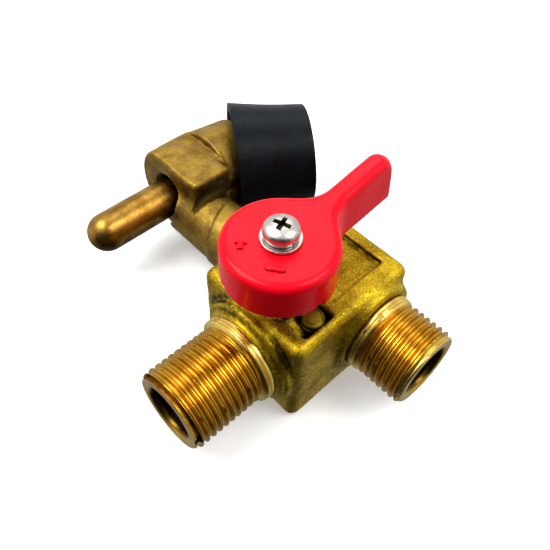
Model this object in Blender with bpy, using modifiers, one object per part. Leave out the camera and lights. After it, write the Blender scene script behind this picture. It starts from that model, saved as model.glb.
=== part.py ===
"""Vehicle gas refuelling valve with three ways, in metres, +Z up.

A brass casting joins a valve block, with two threaded pipe ends, to a head with a cross hole
for a filling probe. A quarter-turn ball valve sits behind port A, a non-return valve sits
behind port B, and a dust plug with a rubber boot closes the cross hole.

Frame: the origin is on the block's flat base, under the stem. +Z is the stem's axis, port A
opens towards -Y, port B opens towards +X, and the head lies towards -X.
"""
import math

import bmesh
import bpy
from mathutils import Matrix, Vector

# ---------------------------------------------------------------- driving dimensions
GAP = 0.0003                 # clearance between touching pieces
ROUND = 32                   # sides of the large turned surfaces
ROUND_FINE = 24              # sides of the handle's fastenings and of the pin
ROUND_SMALL = 16             # sides of the small and hidden turned pieces

AXIS_Z = 0.0165              # height of every bore's axis above the base
BLOCK_X = (-0.0176, 0.0150)
BLOCK_Y = (-0.0076, 0.0306)
BLOCK_TOP = AXIS_Z + 0.0142
BLOCK_EDGE = 0.0026          # radius of the cast edges

THREAD_R = 0.0104775         # G 1/2: 20.955 mm over the crests
THREAD_PITCH = 0.0254 / 14
THREAD_DEPTH = 0.0011
BORE_R = 0.00675             # inside the threaded ends
BOSS_R = 0.0140              # cast boss behind each thread
COLLAR_R = 0.0116            # machined shoulder between boss and thread

PORT_A_END = -0.0328         # along Y
PORT_B_Y = 0.0191
PORT_B_END = 0.0326          # along X

BALL_R = 0.0060
RETAINER_END = 0.0140        # the seat retainer's outer face, from the ball's centre
FLOW_R = 0.0027              # ball bore and drilled passages

STEM_R = 0.0033
TOWER_R = 0.0058
GLAND_R = 0.0046             # threaded sleeve of the gland nut
TOWER_TOP = AXIS_Z + 0.0155
STEM_TOP = AXIS_Z + 0.0329
STOP_PIN = (0.0093, 0.0026)  # its place in the pocket
STOP_PIN_R = (0.0017, 0.0027)  # shank and head
SQUARE = 0.0046              # across the stem's square
TANG_HALF = 0.0008           # half the thickness of the stem's tang

SCREW_R = 0.0016
SCREW_END = AXIS_Z + 0.0235
WASHER_HOLE_R = 0.0022

HANDLE_TOP = AXIS_Z + 0.0342
SKIRT_BOTTOM = AXIS_Z + 0.0250
SKIRT_R = 0.0129
SKIRT_WALL = 0.0020
ARM_TIP = 0.0382             # from the stem's axis
ARM_FOOT = AXIS_Z + 0.0242
ARM_RISE = 0.0013
ARM_HALF = (0.0023, 0.0036)  # half width at the top and at the bottom
HANDLE_SET = math.radians(4.0)

PLUG_X = -0.05475            # cross hole's axis, along Y
HEAD_X = (-0.0672, -0.0423)
HEAD_Y = (0.0100, 0.0228)
HEAD_Z = (AXIS_Z - 0.0155, AXIS_Z + 0.0114)
REAR_R = (0.0138, 0.0122)    # rear boss at its root and at its end
REAR_END = 0.0387
PROBE_R = 0.0062             # cross hole, for a 12 mm probe
PIN_R = 0.00545
NOSE_Y = -0.0175
STUD_R = 0.0025

NECK_Y = 0.0135
NECK_Z = AXIS_Z - 0.0030
NECK_R = 0.0085
NECK_FLOW_Y = 0.0175

BOOT_MOUTH = Vector((-0.0541, 0.0340, AXIS_Z - 0.0006))
BOOT_YAW = math.radians(34.0)
BOOT_PITCH = math.radians(2.5)
BOOT_LENGTH = 0.0233
BOOT_R = (0.0180, 0.0155)    # at the mouth and at the closed end
BOOT_WALL = 0.0022
BOOT_BASE = 0.0053

COLORS = {                   # name: (red, green, blue), roughness, metallic
    "cast_brass": ((0.50, 0.34, 0.07), 0.42, 1.0),
    "machined_brass": ((0.83, 0.53, 0.14), 0.25, 1.0),
    "red_paint": ((0.80, 0.01, 0.03), 0.22, 0.0),
    "zinc_steel": ((0.72, 0.72, 0.70), 0.22, 1.0),
    "black_rubber": ((0.012, 0.018, 0.026), 0.55, 0.0),
    "seal_rubber": ((0.02, 0.02, 0.02), 0.60, 0.0),
    "white_ptfe": ((0.85, 0.85, 0.82), 0.45, 0.0),
    "bronze_pin": ((0.62, 0.38, 0.12), 0.33, 1.0),
    "spring_steel": ((0.55, 0.55, 0.56), 0.30, 1.0),
}

UP = Matrix.Identity(4)                       # turned about +Z
ALONG_X = Matrix.Rotation(math.pi / 2, 4, "Y")    # local +Z becomes +X
ALONG_Y = Matrix.Rotation(-math.pi / 2, 4, "X")   # local +Z becomes +Y
ALONG_MINUS_Y = Matrix.Rotation(math.pi / 2, 4, "X")


# ---------------------------------------------------------------- scene and helpers
def clear_scene():
    for obj in list(bpy.data.objects):
        bpy.data.objects.remove(obj, do_unlink=True)


def new_collection(name):
    collection = bpy.data.collections.new(name)
    bpy.context.scene.collection.children.link(collection)
    return collection


clear_scene()
PARTS = new_collection("three_way_refuelling_valve")
CUTTERS = new_collection("cutters")


def material(name):
    mat = bpy.data.materials.get(name)
    if mat is None:
        color, roughness, metallic = COLORS[name]
        mat = bpy.data.materials.new(name)
        mat.use_nodes = True
        shader = mat.node_tree.nodes["Principled BSDF"]
        shader.inputs["Base Color"].default_value = (*color, 1.0)
        shader.inputs["Roughness"].default_value = roughness
        shader.inputs["Metallic"].default_value = metallic
        mat.diffuse_color = (*color, 1.0)
    return mat


def link(name, mesh, place=UP, finish=None):
    """Make an object: a part when it has a finish, a cutter when it has none."""
    obj = bpy.data.objects.new(name, mesh)
    obj.matrix_world = place
    if finish:
        mesh.materials.append(material(finish))
        PARTS.objects.link(obj)
    else:
        obj.hide_render = True
        obj.display_type = "WIRE"
        CUTTERS.objects.link(obj)
    return obj


def combine(obj, other, operation):
    modifier = obj.modifiers.new(operation.lower() + "_" + other.name, "BOOLEAN")
    modifier.operation = operation
    modifier.solver = "EXACT"
    modifier.object = other


def cut(obj, *others):
    for other in others:
        combine(obj, other, "DIFFERENCE")


def join(obj, *others):
    for other in others:
        combine(obj, other, "UNION")


def round_edges(obj, width, segments=2, angle=40.0):
    modifier = obj.modifiers.new("rounded_edges", "BEVEL")
    modifier.width = width
    modifier.segments = segments
    modifier.limit_method = "ANGLE"
    modifier.angle_limit = math.radians(angle)


def turned(name, profile, place=UP, finish=None, sides=ROUND, ring=False):
    """Turn a (radius, height) profile about local Z.

    The points run down the outer side; a ring's points then come back up its bore.
    """
    mesh = bpy.data.meshes.new(name)
    points = [(radius, 0.0, height) for radius, height in profile]
    edges = [(i, i + 1) for i in range(len(points) - 1)]
    if ring:
        edges.append((len(points) - 1, 0))
    mesh.from_pydata(points, edges, [])
    obj = link(name, mesh, place, finish)
    screw = obj.modifiers.new("turn", "SCREW")
    screw.axis = "Z"
    screw.steps = sides
    screw.render_steps = sides
    screw.use_smooth_shade = True
    screw.use_merge_vertices = True
    screw.merge_threshold = 0.00001
    return obj


def rod(name, radius, low, high, place=UP, finish=None, sides=ROUND_SMALL):
    return turned(name, [(0, high), (radius, high), (radius, low), (0, low)], place, finish, sides)


def drill(name, radius, low, high, place=UP, sides=ROUND_SMALL):
    """A cutter for a round hole, turned half a side so that no edge meets the part's own edges."""
    half_side = Matrix.Rotation(math.pi / sides, 4, "Z")
    return rod(name, radius, low, high, place @ half_side, sides=sides)


def box(name, low, high, place=UP, finish=None):
    low, high = Vector(low), Vector(high)
    shape = bmesh.new()
    bmesh.ops.create_cube(shape, size=1.0)
    size, middle = high - low, (high + low) / 2
    for vert in shape.verts:
        vert.co = Vector(a * b for a, b in zip(vert.co, size)) + middle
    mesh = bpy.data.meshes.new(name)
    shape.to_mesh(mesh)
    shape.free()
    return link(name, mesh, place, finish)


def prism(name, sides, across_flats, low, high, place=UP, finish=None, turn=0.0):
    """A regular bar standing on local Z, such as a hexagon or a square."""
    shape = bmesh.new()
    radius = across_flats / 2 / math.cos(math.pi / sides)
    bmesh.ops.create_cone(shape, cap_ends=True, segments=sides, radius1=radius, radius2=radius,
                          depth=high - low)
    bmesh.ops.rotate(shape, verts=shape.verts, matrix=Matrix.Rotation(turn, 3, "Z"))
    bmesh.ops.translate(shape, verts=shape.verts, vec=(0, 0, (high + low) / 2))
    mesh = bpy.data.meshes.new(name)
    shape.to_mesh(mesh)
    shape.free()
    return link(name, mesh, place, finish)


def at(x, y, z, turn=UP):
    return Matrix.Translation((x, y, z)) @ turn


def seal_ring(name, middle_r, section_r, place, finish="seal_rubber"):
    """An O-ring, turned from an eight-sided section."""
    count = 8
    section = []
    for i in range(count):
        angle = math.pi / 2 - 2 * math.pi * (i + 0.5) / count
        section.append((middle_r + section_r * math.cos(angle), section_r * math.sin(angle)))
    return turned(name, section, place, finish, ROUND_SMALL, ring=True)


def tube_along(name, points, radius, finish):
    """A bent wire or rod as a closed mesh with flat ends."""
    curve = bpy.data.curves.new(name, "CURVE")
    curve.dimensions = "3D"
    curve.bevel_depth = radius
    curve.bevel_resolution = 2
    curve.use_fill_caps = True
    spline = curve.splines.new("POLY")
    spline.points.add(len(points) - 1)
    for point, position in zip(spline.points, points):
        point.co = (*position, 1.0)
    curve.materials.append(material(finish))
    obj = bpy.data.objects.new(name, curve)
    PARTS.objects.link(obj)
    return obj


# ---------------------------------------------------------------- casting
def threaded_end(name, root, end, place):
    """Boss, shoulder, ridges and chamfer of one threaded end; heights run outwards."""
    inside_block = root - 0.0050
    boss_end = root + 0.0018
    shoulder_end = boss_end + 0.0036
    groove_end = shoulder_end + 0.0012
    chamfer = 0.0016
    cast_edge, machined_edge = 0.0010, 0.0005
    minor = THREAD_R - THREAD_DEPTH
    profile = [(0, end), (minor - 0.0004, end), (THREAD_R - 0.0001, end - chamfer)]
    height = end - chamfer - THREAD_PITCH / 2
    while height > groove_end + THREAD_PITCH / 2:
        profile += [(minor, height), (THREAD_R, height - THREAD_PITCH / 2)]
        height -= THREAD_PITCH
    profile += [
        (minor, groove_end), (minor, shoulder_end), (COLLAR_R - machined_edge, shoulder_end),
        (COLLAR_R, shoulder_end - machined_edge), (COLLAR_R, boss_end), (BOSS_R - cast_edge, boss_end),
        (BOSS_R, boss_end - cast_edge), (BOSS_R, inside_block), (0, inside_block)]
    return turned(name, profile, place)


def make_head():
    """The squared front of the head, and the round boss behind it that tapers away."""
    rounding = 0.0022
    head = box("head_square", (HEAD_X[0], HEAD_Y[0], HEAD_Z[0]), (HEAD_X[1], HEAD_Y[1], HEAD_Z[1]))
    round_edges(head, rounding, segments=3)
    inside_head = HEAD_Y[0] + 0.004
    rear = turned("head_rear", [
        (0, REAR_END), (REAR_R[1] - rounding, REAR_END),
        (REAR_R[1] - 0.3 * rounding, REAR_END - 0.3 * rounding), (REAR_R[1], REAR_END - rounding),
        (REAR_R[0], HEAD_Y[1]), (REAR_R[0], inside_head), (0, inside_head)],
        at(PLUG_X, 0, AXIS_Z, ALONG_Y))
    beyond = 0.01
    flat_side = box("rear_flat", (HEAD_X[1], HEAD_Y[0], 0),
                    (HEAD_X[1] + beyond, REAR_END + beyond, HEAD_Z[1] + beyond))
    flat_top = box("front_flat", (HEAD_X[0] - beyond, 0, HEAD_Z[1]),
                   (HEAD_X[1] + beyond, HEAD_Y[1] - 0.0004, HEAD_Z[1] + beyond))
    cut(rear, flat_side, flat_top)
    return head, rear


def make_casting():
    body = box("body_casting", (BLOCK_X[0], BLOCK_Y[0], 0), (BLOCK_X[1], BLOCK_Y[1], BLOCK_TOP),
               finish="cast_brass")
    round_edges(body, BLOCK_EDGE, segments=3)
    # solid shapes
    neck = rod("neck", NECK_R, HEAD_X[1] - 0.004, BLOCK_X[0] + 0.004,
               at(0, NECK_Y, NECK_Z, ALONG_X), sides=ROUND)
    port_a = threaded_end("port_a", -BLOCK_Y[0], -PORT_A_END, at(0, 0, AXIS_Z, ALONG_MINUS_Y))
    port_b = threaded_end("port_b", BLOCK_X[1], PORT_B_END, at(0, PORT_B_Y, AXIS_Z, ALONG_X))
    tower = rod("stem_tower", TOWER_R, AXIS_Z + 0.007, TOWER_TOP, sides=ROUND_FINE)
    above = BLOCK_TOP + 0.01
    pocket = box("pocket", (-0.0062, -0.0033, AXIS_Z + 0.0086), (0.0122, 0.0062, above))
    recess = box("recess", (-0.0130, -0.0033, BLOCK_TOP - 0.0010), (0.0095, 0.0266, above))
    cut(body, recess, pocket)
    join(body, *make_head(), neck, port_a, port_b, tower)
    # bores
    floor_a = 0.0084             # how far past the ball's centre bore A runs
    end_b = -0.0120              # where bore B stops, along X
    overlap = 0.001              # how far one bore runs into the next
    beyond = 0.005
    lead_in = 0.0010
    cut(body,
        drill("bore_a", BORE_R, -floor_a, -PORT_A_END + beyond, at(0, 0, AXIS_Z, ALONG_MINUS_Y), ROUND),
        drill("bore_b", BORE_R, end_b, PORT_B_END + beyond, at(0, PORT_B_Y, AXIS_Z, ALONG_X), ROUND),
        drill("passage_ball_to_b", FLOW_R, floor_a - overlap, PORT_B_Y - BORE_R + overlap,
              at(0, 0, AXIS_Z, ALONG_Y)),
        drill("passage_neck", FLOW_R, PLUG_X, end_b + overlap, at(0, NECK_FLOW_Y, NECK_Z, ALONG_X)),
        drill("stem_hole", STEM_R + GAP, AXIS_Z, AXIS_Z + 0.009),
        drill("gland_hole", GLAND_R + GAP, AXIS_Z + 0.0080, TOWER_TOP + beyond),
        drill("stop_pin_hole", STOP_PIN_R[0] + GAP, AXIS_Z + 0.0045, AXIS_Z + 0.010, at(*STOP_PIN, 0)),
        turned("probe_hole", [
            (0, REAR_END + beyond), (PROBE_R, REAR_END + beyond), (PROBE_R, HEAD_Y[0] + lead_in),
            (PROBE_R + lead_in, HEAD_Y[0]), (PROBE_R + lead_in, HEAD_Y[0] - beyond),
            (0, HEAD_Y[0] - beyond)],
            at(PLUG_X, 0, AXIS_Z, ALONG_Y) @ Matrix.Rotation(math.pi / ROUND, 4, "Z")))


# ---------------------------------------------------------------- shut-off valve
def make_ball():
    shape = bmesh.new()
    bmesh.ops.create_uvsphere(shape, u_segments=ROUND_FINE, v_segments=12, radius=BALL_R)
    mesh = bpy.data.meshes.new("ball")
    shape.to_mesh(mesh)
    shape.free()
    mesh.shade_smooth()
    ball = link("ball", mesh, at(0, 0, AXIS_Z), "zinc_steel")
    beyond = BALL_R + 0.002
    bore = drill("ball_bore", FLOW_R, -beyond, beyond, at(0, 0, AXIS_Z, ALONG_Y))
    slot = box("ball_slot", (-TANG_HALF - GAP, -beyond, AXIS_Z + 0.0036),
               (TANG_HALF + GAP, beyond, AXIS_Z + beyond))
    cut(ball, bore, slot)


def make_seats():
    inner_r, outer_r = 0.0030, BORE_R - GAP
    near, lip, far = 0.0055, 0.0037, 0.0080
    profile = [(inner_r, far), (outer_r, far), (outer_r, lip), (outer_r - 0.0005, lip), (inner_r, near)]
    for name, place in (("ball_seat_inner", ALONG_Y), ("ball_seat_outer", ALONG_MINUS_Y)):
        turned(name, profile, at(0, 0, AXIS_Z, place), "white_ptfe", ROUND_SMALL, ring=True)

    start, end, groove = far + GAP, RETAINER_END, (0.0096, 0.0116)
    hole_r = 0.0034
    bottom = BORE_R - 0.0021
    retainer = turned("seat_retainer", [
        (hole_r, end), (outer_r, end), (outer_r, groove[1]), (bottom, groove[1]), (bottom, groove[0]),
        (outer_r, groove[0]), (outer_r, start), (hole_r, start)],
        at(0, 0, AXIS_Z, ALONG_MINUS_Y), "machined_brass", ROUND_FINE, ring=True)
    slot_half, slot_depth, slot_from, slot_to = 0.0007, 0.0013, hole_r - 0.0010, outer_r + 0.0010
    for side in (1, -1):
        edges = sorted((side * slot_from, side * slot_to))
        cut(retainer, box("retainer_slot", (edges[0], -end - 0.0005, AXIS_Z - slot_half),
                          (edges[1], -end + slot_depth, AXIS_Z + slot_half)))
    section = 0.00065
    seal_ring("retainer_o_ring", outer_r + 0.0001 - section, section,
              at(0, -(groove[0] + groove[1]) / 2, AXIS_Z, ALONG_Y))


def make_stem():
    groove_r, groove_half = STEM_R - 0.0011, 0.0008
    collar = (AXIS_Z + 0.0083, AXIS_Z + 0.0091)
    seals = (AXIS_Z + 0.0117, AXIS_Z + 0.0143)
    square_from = SKIRT_BOTTOM - GAP
    foot = AXIS_Z + 0.0062
    profile = [(0, square_from), (STEM_R, square_from)]
    for height in reversed(seals):
        profile += [(STEM_R, height + groove_half), (groove_r, height + groove_half),
                    (groove_r, height - groove_half), (STEM_R, height - groove_half)]
    profile += [(STEM_R, collar[1]), (GLAND_R - GAP, collar[1]), (GLAND_R - GAP, collar[0]),
                (STEM_R, collar[0]), (STEM_R, foot), (0, foot)]
    stem = turned("stem", profile, finish="zinc_steel", sides=ROUND_SMALL)
    tang_width = 0.0028
    tang = box("stem_tang", (-TANG_HALF, -tang_width, AXIS_Z + 0.0039),
               (TANG_HALF, tang_width, foot + 0.001))
    square = prism("stem_square", 4, SQUARE, square_from - 0.001, STEM_TOP, turn=math.pi / 4)
    join(stem, tang, square)
    cut(stem, drill("stem_screw_hole", SCREW_R + GAP, SCREW_END - 0.0010, STEM_TOP + 0.01))
    for name, height in zip(("stem_o_ring_lower", "stem_o_ring_upper"), seals):
        seal_ring(name, STEM_R - 0.00035, 0.0005, at(0, 0, height))
    washer = (collar[1] + 0.0002, collar[1] + 0.0008)
    turned("thrust_washer", [
        (STEM_R + GAP, washer[1]), (GLAND_R, washer[1]), (GLAND_R, washer[0]), (STEM_R + GAP, washer[0])],
        finish="white_ptfe", sides=ROUND_SMALL, ring=True)


def make_gland():
    low, high = AXIS_Z + 0.0102, TOWER_TOP + 0.0034
    beyond = 0.01
    gland = rod("gland_nut", GLAND_R, low, high - 0.002, finish="machined_brass")
    join(gland, prism("gland_hexagon", 6, 0.0100, TOWER_TOP + GAP, high))
    cut(gland, drill("gland_bore", STEM_R + GAP, low - beyond, high + beyond))


def make_handle():
    web = 0.0030
    inner_r = SKIRT_R - SKIRT_WALL
    edge = 0.0010
    turn = Matrix.Rotation(HANDLE_SET, 4, "Z")
    handle = turned("handle", [
        (0, HANDLE_TOP), (SKIRT_R - edge, HANDLE_TOP), (SKIRT_R - 0.3 * edge, HANDLE_TOP - 0.3 * edge),
        (SKIRT_R, HANDLE_TOP - edge), (SKIRT_R, SKIRT_BOTTOM), (0, SKIRT_BOTTOM)], turn, "red_paint")

    # arm: a tapered blade that rises a little towards its rounded tip
    shape = bmesh.new()
    bmesh.ops.create_cube(shape, size=1.0)
    for vert in shape.verts:
        outer, top = vert.co.y > 0, vert.co.z > 0
        vert.co.x = math.copysign(ARM_HALF[0] if top else ARM_HALF[1], vert.co.x)
        vert.co.y = ARM_TIP if outer else 0.009
        if top:
            vert.co.z = HANDLE_TOP - 0.0002 + (ARM_RISE if outer else 0.0)
        else:
            vert.co.z = ARM_FOOT
    mesh = bpy.data.meshes.new("arm")
    shape.to_mesh(mesh)
    shape.free()
    arm = link("arm", mesh, turn)
    round_edges(arm, 0.0013, segments=2)

    # web that blends the disc into the arm
    flare_half, flare_from, flare_to = 0.0072, 0.0104, 0.0190
    inset = 0.0004               # the web stays just inside the disc's top and bottom
    outline = [(-0.0112, 0.0045)]
    steps = 5
    for i in range(steps + 1):
        t = i / steps
        half = ARM_HALF[0] + (flare_half - ARM_HALF[0]) * (1 - t) ** 2
        outline.append((-half, flare_from + (flare_to - flare_from) * t))
    outline += [(-x, y) for x, y in reversed(outline)]
    web_mesh = bpy.data.meshes.new("arm_root")
    shape = bmesh.new()
    face = shape.faces.new([shape.verts.new((x, y, SKIRT_BOTTOM + inset)) for x, y in reversed(outline)])
    lifted = bmesh.ops.extrude_face_region(shape, geom=[face])
    bmesh.ops.translate(shape, verts=[v for v in lifted["geom"] if isinstance(v, bmesh.types.BMVert)],
                        vec=(0, 0, HANDLE_TOP - SKIRT_BOTTOM - 2 * inset))
    bmesh.ops.recalc_face_normals(shape, faces=shape.faces)
    shape.to_mesh(web_mesh)
    shape.free()
    arm_root = link("arm_root", web_mesh, turn)

    join(handle, arm, arm_root)
    hub_r = 0.0056
    below = SKIRT_BOTTOM - 0.002
    hollow = turned("handle_hollow", [
        (hub_r, HANDLE_TOP - web), (inner_r, HANDLE_TOP - web), (inner_r, below), (hub_r, below)],
        turn, ring=True)
    square_hole = prism("handle_square", 4, SQUARE + 2 * GAP, below, STEM_TOP + GAP, turn=math.pi / 4)
    screw_hole = drill("handle_screw_hole", WASHER_HOLE_R, STEM_TOP - 0.001, HANDLE_TOP + 0.002)
    cut(handle, hollow, square_hole, screw_hole)


def washer_profile(low, high, outer_r):
    return [(WASHER_HOLE_R, high), (outer_r, high), (outer_r, low), (WASHER_HOLE_R, low)]


def make_handle_fastening():
    seat_gap = GAP / 2
    flat = (HANDLE_TOP + seat_gap, HANDLE_TOP + seat_gap + 0.0007)
    turned("flat_washer", washer_profile(*flat, 0.0045), finish="zinc_steel", sides=ROUND_FINE, ring=True)
    split = (flat[1] + seat_gap, flat[1] + seat_gap + 0.0010)
    spring = turned("spring_washer", washer_profile(*split, 0.0035), finish="zinc_steel",
                    sides=ROUND_FINE, ring=True)
    split_half = 0.0002
    slant = at(0, 0, sum(split) / 2) @ Matrix.Rotation(math.radians(20), 4, "X")
    cut(spring, box("split_gap", (0.001, -split_half, -0.002), (0.006, split_half, 0.002), slant))

    head_low = split[1] + seat_gap
    head_r, head_high, head_side = 0.0039, head_low + 0.0026, head_low + 0.0009
    screw = turned("handle_screw", [
        (0, head_high), (0.55 * head_r, head_high - 0.00025), (0.85 * head_r, head_high - 0.0009),
        (head_r, head_side), (head_r, head_low), (SCREW_R, head_low), (SCREW_R, SCREW_END + 0.0005),
        (SCREW_R - 0.0004, SCREW_END), (0, SCREW_END)], finish="zinc_steel", sides=ROUND_FINE)
    slot_length, slot_width, slot_depth = 0.0042, 0.0010, 0.0016
    for degrees in (20, 110):
        low = (-slot_length / 2, -slot_width / 2, head_high - slot_depth)
        high = (slot_length / 2, slot_width / 2, head_high + 0.001)
        cut(screw, box("cross_slot", low, high, Matrix.Rotation(math.radians(degrees), 4, "Z")))


def make_stop_pin():
    shank_r, head_r = STOP_PIN_R
    foot, shoulder, top = AXIS_Z + 0.0048, AXIS_Z + 0.0089, AXIS_Z + 0.0138
    edge = 0.0005
    turned("stop_pin", [
        (0, top), (head_r - edge, top), (head_r, top - edge), (head_r, shoulder), (shank_r, shoulder),
        (shank_r, foot), (0, foot)], at(*STOP_PIN, 0), "machined_brass", ROUND_SMALL)


# ---------------------------------------------------------------- non-return valve
def make_check_valve():
    place = at(0, PORT_B_Y, AXIS_Z, ALONG_X)
    outer_r = BORE_R - GAP
    seat = (-0.0090, -0.0058)
    hole_r, mouth_r = 0.0028, 0.0042
    turned("check_seat", [
        (mouth_r, seat[1]), (outer_r, seat[1]), (outer_r, seat[0]), (hole_r, seat[0]),
        (hole_r, seat[1] - 0.0012)], place, "machined_brass", ROUND_SMALL, ring=True)

    guide_r, poppet_r, groove_r = 0.0013, 0.0046, 0.0034
    face, back, guide_end = seat[1] + 0.0004, seat[1] + 0.0034, 0.0078
    groove = (face + 0.0008, face + 0.0020)
    turned("check_poppet", [
        (0, guide_end), (guide_r, guide_end), (guide_r, back), (poppet_r, back), (poppet_r, groove[1]),
        (groove_r, groove[1]), (groove_r, groove[0]), (poppet_r - 0.0003, groove[0]), (0.0030, face),
        (0.0018, face - 0.0012), (0, face - 0.0012)], place, "machined_brass", ROUND_SMALL)
    seal_ring("poppet_seal", 0.0041, 0.0004, at(sum(groove) / 2, PORT_B_Y, AXIS_Z, ALONG_X))

    ring = (0.0050, 0.0076)
    retainer = turned("spring_retainer", [
        (guide_r + GAP, ring[1]), (outer_r, ring[1]), (outer_r, ring[0]), (guide_r + GAP, ring[0])],
        place, "machined_brass", ROUND_SMALL, ring=True)
    passages, passage_r, circle_r, beyond = 4, 0.0012, 0.0042, 0.002
    for index in range(passages):
        angle = 2 * math.pi * (index + 0.5) / passages
        hole_y, hole_z = PORT_B_Y + circle_r * math.cos(angle), AXIS_Z + circle_r * math.sin(angle)
        hole_place = at(0, hole_y, hole_z, ALONG_X)
        cut(retainer, drill("retainer_passage", passage_r, ring[0] - beyond, ring[1] + beyond,
                            hole_place, sides=12))

    wire_r, coil_r, turns, points_per_turn = 0.00035, 0.0027, 4, 12
    start, end = back + wire_r + GAP, ring[0] - wire_r - GAP
    count = turns * points_per_turn
    helix = []
    for i in range(count + 1):
        angle = 2 * math.pi * i / points_per_turn
        helix.append((start + (end - start) * i / count, PORT_B_Y + coil_r * math.cos(angle),
                      AXIS_Z + coil_r * math.sin(angle)))
    tube_along("check_spring", helix, wire_r, "spring_steel")


# ---------------------------------------------------------------- dust plug
def make_plug_pin(flange, tail, seals):
    """Round-nosed pin with two seal grooves, a flange behind the head and a short tail."""
    place = at(PLUG_X, 0, AXIS_Z, ALONG_Y)
    tail_r, flange_r = 0.0048, 0.0085
    groove_r, groove_half = 0.0039, 0.0012
    profile = [(0, tail), (tail_r, tail), (tail_r, flange[1]), (flange_r, flange[1]),
               (flange_r, flange[0]), (PIN_R, flange[0])]
    for y in reversed(seals):
        profile += [(PIN_R, y + groove_half), (groove_r, y + groove_half), (groove_r, y - groove_half),
                    (PIN_R, y - groove_half)]
    nose_steps = 7
    for i in range(nose_steps + 1):
        angle = math.pi / 2 * i / nose_steps
        profile.append((PIN_R * math.cos(angle), NOSE_Y + PIN_R - PIN_R * math.sin(angle)))
    pin = turned("plug_pin", profile, place, "bronze_pin", ROUND_FINE)
    cut(pin, drill("plug_stud_hole", STUD_R + GAP, tail - 0.0020, tail + 0.01, place))

    for name, y in zip(("plug_o_ring_front", "plug_o_ring_rear"), seals):
        seal_ring(name, 0.00505, 0.00082, at(PLUG_X, y, AXIS_Z, ALONG_Y))
    turned("plug_washer", washer_ring(flange[0] - GAP, REAR_END + GAP), place, "seal_rubber",
           ROUND_SMALL, ring=True)


def washer_ring(high, low):
    inner_r, outer_r = PIN_R + GAP, 0.0082
    return [(inner_r, high), (outer_r, high), (outer_r, low), (inner_r, low)]


def make_boot(axis, depth, bend_end, grip):
    """A tapered cup, open towards the head and set askew on the pin."""
    turn = axis.to_track_quat("Z", "Y").to_matrix().to_4x4()
    slope = (BOOT_R[1] - BOOT_R[0]) / BOOT_LENGTH
    inner_mouth = BOOT_R[0] - BOOT_WALL
    edge = 0.0010
    boot = turned("rubber_boot", [
        (0, BOOT_LENGTH), (BOOT_R[1] - edge, BOOT_LENGTH),
        (BOOT_R[1] - 0.3 * edge, BOOT_LENGTH - 0.3 * edge), (BOOT_R[1], BOOT_LENGTH - edge),
        (BOOT_R[0], 0), (inner_mouth, 0), (inner_mouth + slope * depth, depth), (0, depth)],
        Matrix.Translation(BOOT_MOUTH) @ turn, "black_rubber")
    mouth_side = 0.001
    hole_start = bend_end + axis * (depth - mouth_side - (bend_end - BOOT_MOUTH).dot(axis))
    cut(boot, drill("boot_stud_hole", STUD_R + GAP, 0, mouth_side + grip + GAP,
                    Matrix.Translation(hole_start) @ turn))


def make_dust_plug():
    flange = (REAR_END + 0.0016, REAR_END + 0.0036)
    tail = flange[1] + 0.0020
    make_plug_pin(flange, tail, seals=(HEAD_Y[0] + 0.0027, REAR_END - 0.0055))

    # stud: leaves the pin along Y and bends until it is square to the boot's base
    level = math.cos(BOOT_PITCH)
    axis = Vector((math.sin(BOOT_YAW) * level, math.cos(BOOT_YAW) * level, math.sin(BOOT_PITCH)))
    depth = BOOT_LENGTH - BOOT_BASE
    grip = 0.0032                # how deep the stud sits in the boot's base
    bend_r = 0.009
    bend_from = Vector((PLUG_X, tail + 0.0005, AXIS_Z))
    route = [Vector((PLUG_X, tail - 0.0017, AXIS_Z))]
    steps = 8
    for i in range(steps + 1):
        angle = BOOT_YAW * i / steps
        route.append(bend_from + bend_r * Vector((1 - math.cos(angle), math.sin(angle), 0)))
    bend_end = route[-1]
    route.append(bend_end + axis * (depth + grip - (bend_end - BOOT_MOUTH).dot(axis)))
    tube_along("plug_stud", route, STUD_R, "bronze_pin")
    make_boot(axis, depth, bend_end, grip)


make_casting()
make_ball()
make_seats()
make_stem()
make_gland()
make_handle()
make_handle_fastening()
make_stop_pin()
make_check_valve()
make_dust_plug()
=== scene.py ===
"""Looks of the three way refuelling valve: fine pieces, finishes, floor, lights and camera.

Lengths below are in millimetres unless a name ends in _M; meshes are scaled to metres when they
are made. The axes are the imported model's: +Z along the stem, port A towards -Y, port B towards +X.
"""
import math
import random

import bmesh
import bpy
import numpy as np
from mathutils import Matrix, Vector, noise


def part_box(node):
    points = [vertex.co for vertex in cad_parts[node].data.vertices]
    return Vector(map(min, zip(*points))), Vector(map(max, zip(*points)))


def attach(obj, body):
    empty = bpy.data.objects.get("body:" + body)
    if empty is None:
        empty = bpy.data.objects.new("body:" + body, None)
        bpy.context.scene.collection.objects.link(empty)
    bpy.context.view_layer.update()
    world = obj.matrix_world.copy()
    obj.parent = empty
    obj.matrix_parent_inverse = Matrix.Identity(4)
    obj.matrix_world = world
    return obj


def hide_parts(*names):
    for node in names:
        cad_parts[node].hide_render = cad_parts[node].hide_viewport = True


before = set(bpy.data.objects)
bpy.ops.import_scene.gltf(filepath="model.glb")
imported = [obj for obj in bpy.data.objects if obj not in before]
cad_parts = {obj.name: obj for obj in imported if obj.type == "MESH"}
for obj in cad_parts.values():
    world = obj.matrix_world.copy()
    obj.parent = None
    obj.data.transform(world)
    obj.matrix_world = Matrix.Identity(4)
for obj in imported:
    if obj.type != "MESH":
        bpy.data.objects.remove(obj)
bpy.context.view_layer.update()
MM = 0.001


def cad_box(node):
    """Lowest and highest corner of a CAD node, in millimetres."""
    low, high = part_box(node)
    return Vector(low) / MM, Vector(high) / MM


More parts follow.
